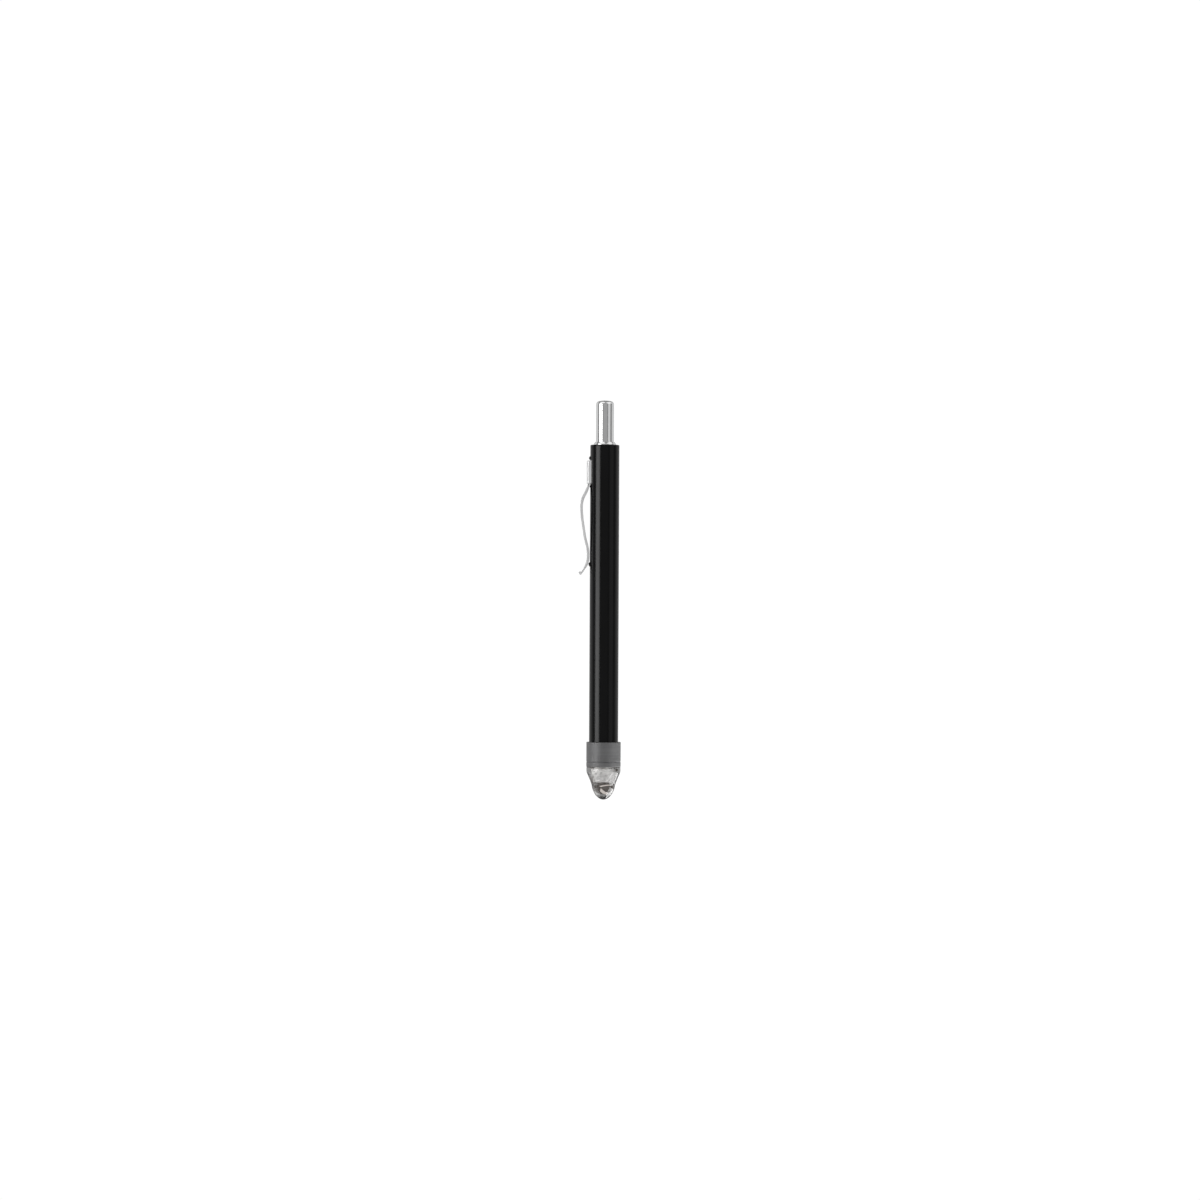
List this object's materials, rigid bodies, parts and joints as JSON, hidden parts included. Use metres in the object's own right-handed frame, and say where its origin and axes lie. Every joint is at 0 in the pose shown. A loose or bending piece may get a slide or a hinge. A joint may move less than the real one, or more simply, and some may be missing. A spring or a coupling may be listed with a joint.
{
  "type": "ophthalmic penlight",
  "caption": "Slim pen-type ophthalmic examination light with a clear bullet lens, a black tube, a spring pocket clip and a long chrome push button.",
  "frame": {"origin": "apex of the lens, on the pen's axis", "axes": "+Z along the pen from the lens to the push button, -X towards the pocket clip, +Y across the clip"},
  "size_m": [0.0148, 0.0118, 0.1372],
  "materials": {
    "black_lacquer": "gloss",
    "gunmetal": "satin",
    "bright_chrome": "polished",
    "polished_nickel": "polished",
    "yellow_brass": "satin",
    "spring_steel": "satin",
    "tin_plate": "satin",
    "tungsten": "satin",
    "clear_plastic": "gloss",
    "lamp_glass": "gloss",
    "bead_glass": "gloss",
    "cell_wrap": "satin",
    "cell_washer": "matte",
    "black_plastic": "matte",
    "seal_rubber": "matte"
  },
  "bodies": {
    "tube": {"barrel": "black_lacquer", "o_ring": "seal_rubber", "saddle_rivet_lower": "spring_steel", "saddle_rivet_upper": "spring_steel", "clip_saddle": "bright_chrome", "tail_bushing": "bright_chrome", "switch_housing": "black_plastic", "contact_plate": "yellow_brass"},
    "button": {"push_button": "bright_chrome", "contact_rod": "yellow_brass", "button_spring": "spring_steel"},
    "clip": {"pocket_clip": "spring_steel"},
    "cells": {"front_cell_can": "cell_wrap", "front_cell_washer": "cell_washer", "front_cell_terminal": "tin_plate", "rear_cell_can": "cell_wrap", "rear_cell_washer": "cell_washer", "rear_cell_terminal": "tin_plate", "tail_spring": "spring_steel"},
    "head": {"head_collar": "gunmetal", "nose_lens": "clear_plastic", "reflector": "polished_nickel", "lamp_holder": "yellow_brass", "lamp_glass": "lamp_glass", "lamp_base": "polished_nickel", "lamp_insulator": "black_plastic", "lamp_contact": "tin_plate", "lamp_lead_left": "polished_nickel", "lamp_lead_right": "polished_nickel", "lamp_bead": "bead_glass", "lamp_filament": "tungsten"}
  },
  "joints": [
    {"name": "button_press", "type": "slide", "parent": "tube", "child": "button", "axis": [0, 0, -1], "range_m": [0, 0.003], "stiffness_N_per_m": 700, "springref_m": -0.003, "deforming": ["button_spring"]},
    {"name": "clip_flex", "type": "hinge", "parent": "tube", "child": "clip", "pos_m": [-0.0055, 0, 0.1089], "axis": [0, 1, 0], "range_deg": [0, 6], "stiffness_Nm_per_rad": 2.2},
    {"name": "thread_travel", "type": "slide", "parent": "tube", "child": "cells", "axis": [0, 0, -1], "range_m": [0, 0.003], "deforming": ["tail_spring"]},
    {"name": "head_turn", "type": "hinge", "parent": "cells", "child": "head", "pos_m": [0, 0, 0.0155], "axis": [0, 0, -1], "range_deg": [0, 1080]}
  ],
  "couplings": [
    {"joint": "head_turn", "follows": "thread_travel", "rad_per_m": 6283.2}
  ]
}
